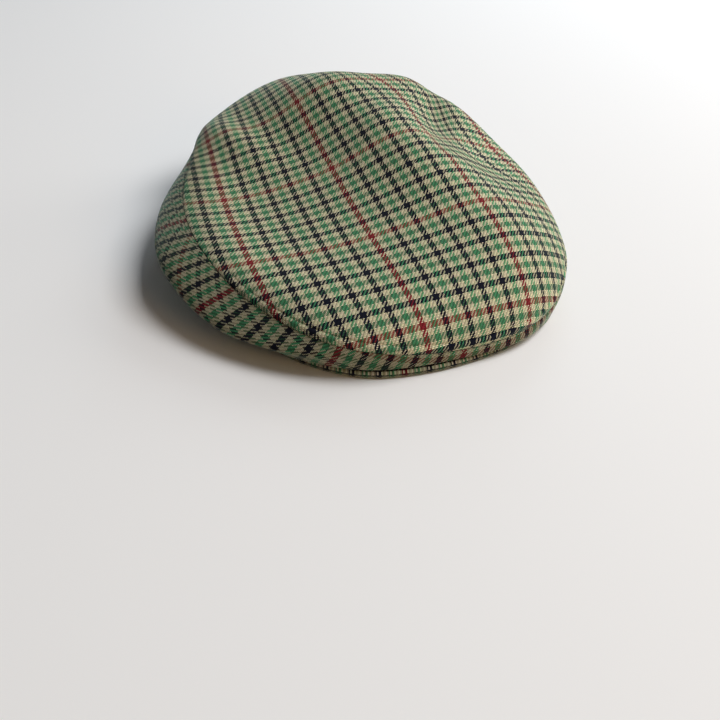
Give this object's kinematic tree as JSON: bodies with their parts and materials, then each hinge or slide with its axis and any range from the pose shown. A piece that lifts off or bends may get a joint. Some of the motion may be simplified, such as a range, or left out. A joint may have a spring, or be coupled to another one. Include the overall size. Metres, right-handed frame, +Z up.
{
  "type": "flat cap",
  "caption": "Soft low flat cap of checked woollen twill: one-piece top panel sloping down over a short stiff peak, with a side band round the open head hollow.",
  "frame": {"origin": "middle of the cap's length and width, on the plane that the hem and the peak rest on", "axes": "+Z up through the crown, -Y to the front where the peak is, +X to the wearer's left"},
  "size_m": [0.2238, 0.2558, 0.0711],
  "materials": {
    "top_cloth": "checked 2/2 wool twill of cream, green, navy and dark red yarns, soft and matt",
    "band_cloth": "the same checked wool twill",
    "peak_cloth": "the same checked wool twill, drawn tight over a stiff board"
  },
  "bodies": {
    "root": {"top_panel": "top_cloth", "side_band": "band_cloth", "peak": "peak_cloth"}
  },
  "joints": []
}
